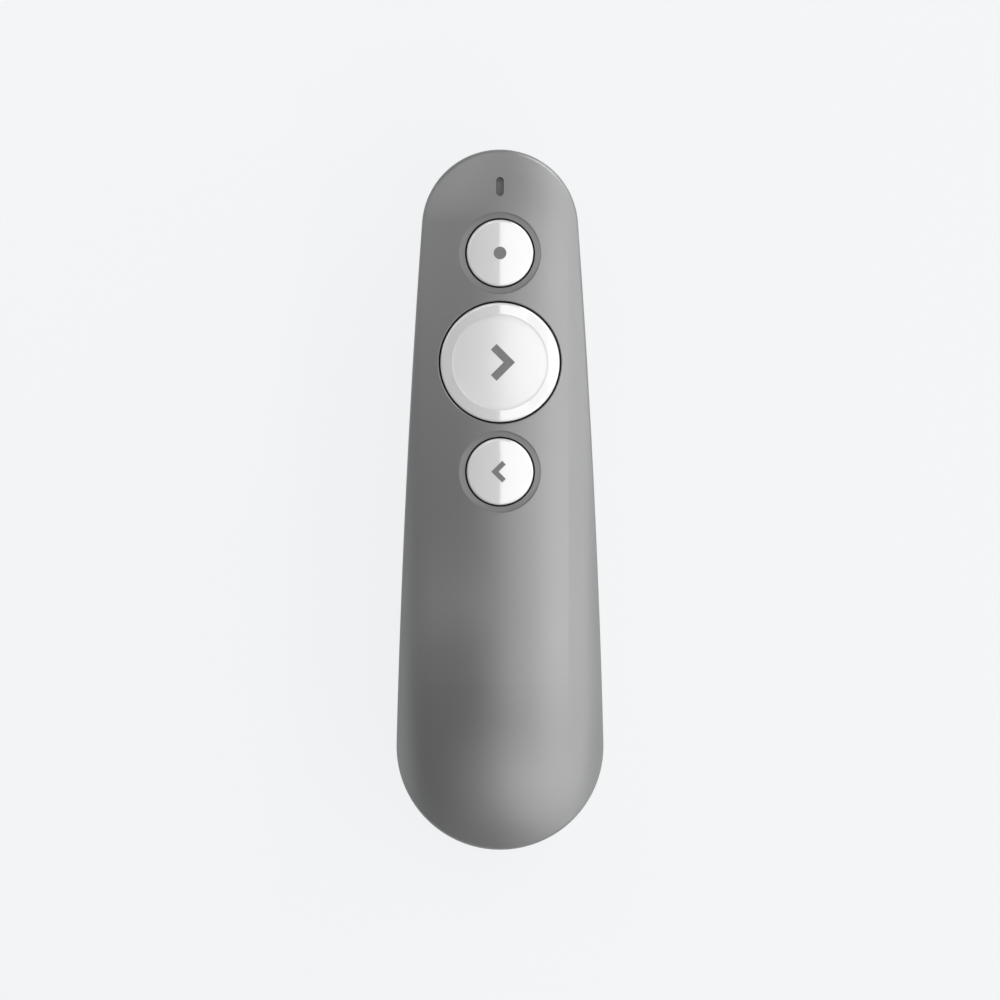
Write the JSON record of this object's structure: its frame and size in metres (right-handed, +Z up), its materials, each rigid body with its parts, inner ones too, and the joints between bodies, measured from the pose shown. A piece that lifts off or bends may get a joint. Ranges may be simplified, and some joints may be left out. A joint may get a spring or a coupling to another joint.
{
  "type": "wireless presentation clicker",
  "caption": "Slim tapered handheld presenter with a row of round push keys, a laser nose, a slide-off battery door and a dongle docked in its tail.",
  "frame": {"origin": "centre of the body's length and width, on the plane of the flat back it rests on", "axes": "+Y along the body to the laser end, +Z up through the keys, +X to the right when the keys face the viewer and the laser end is up"},
  "size_m": [0.0374, 0.1264, 0.0295],
  "materials": {
    "soft_grey": "soft-touch mid grey",
    "white_gloss": "glossy white",
    "icon_grey": "flush grey inlay",
    "switch_black": "moulded black",
    "carrier_black": "fine matt black",
    "chip_black": "moulded package",
    "nose_black": "gloss black",
    "smoke_plastic": "smoked translucent",
    "lamp_white": "diffuse lamp body",
    "board_green": "solder resist",
    "tinned_steel": "tin plated",
    "spring_steel": "nickel plated",
    "plug_steel": "satin nickel",
    "screw_steel": "dark zinc",
    "turned_brass": "turned",
    "gilt_brass": "gold flash",
    "clear_lens": "clear",
    "cell_wrap": "plain dark wrap",
    "lead_black": "insulated lead"
  },
  "bodies": {
    "housing": {"front_cover": "soft_grey", "rear_cover": "soft_grey", "laser_switch": "switch_black", "next_switch": "switch_black", "back_switch": "switch_black", "switch_lids": "tinned_steel", "key_carrier": "carrier_black", "circuit_board": "board_green", "radio_chip": "chip_black", "crystal_can": "tinned_steel", "chip_parts": "chip_black", "board_screws": "screw_steel", "housing_screws": "screw_steel", "laser_bezel": "nose_black", "laser_window": "clear_lens", "laser_barrel": "turned_brass", "laser_diode": "gilt_brass", "laser_leads": "gilt_brass", "collimating_lens": "clear_lens", "lens_ring": "turned_brass", "light_pipe": "smoke_plastic", "indicator_lamp": "lamp_white", "battery_can": "cell_wrap", "battery_nub": "tinned_steel", "battery_spring": "spring_steel", "positive_contact": "spring_steel", "negative_contact": "spring_steel", "negative_lead": "lead_black"},
    "laser_button": {"laser_key": "white_gloss", "laser_dot": "icon_grey", "laser_key_base": "carrier_black", "laser_plunger": "switch_black"},
    "next_button": {"next_key": "white_gloss", "next_arrow": "icon_grey", "next_key_base": "carrier_black", "next_plunger": "switch_black"},
    "back_button": {"back_key": "white_gloss", "back_arrow": "icon_grey", "back_key_base": "carrier_black", "back_plunger": "switch_black"},
    "door": {"battery_door": "soft_grey"},
    "receiver": {"receiver_cap": "carrier_black", "receiver_plug": "plug_steel", "receiver_tongue": "switch_black", "receiver_contacts": "gilt_brass"}
  },
  "joints": [
    {"name": "laser_press", "type": "slide", "parent": "housing", "child": "laser_button", "axis": [0, 0, -1], "range_m": [0, 0.0006], "stiffness_N_per_m": 2500},
    {"name": "next_press", "type": "slide", "parent": "housing", "child": "next_button", "axis": [0, 0, -1], "range_m": [0, 0.0006], "stiffness_N_per_m": 2500},
    {"name": "back_press", "type": "slide", "parent": "housing", "child": "back_button", "axis": [0, 0, -1], "range_m": [0, 0.0006], "stiffness_N_per_m": 2500},
    {"name": "door_slide", "type": "slide", "parent": "housing", "child": "door", "axis": [0, -1, 0], "range_m": [0, 0.052]},
    {"name": "receiver_slide", "type": "slide", "parent": "housing", "child": "receiver", "axis": [0, -1, 0], "range_m": [0, 0.02]}
  ]
}
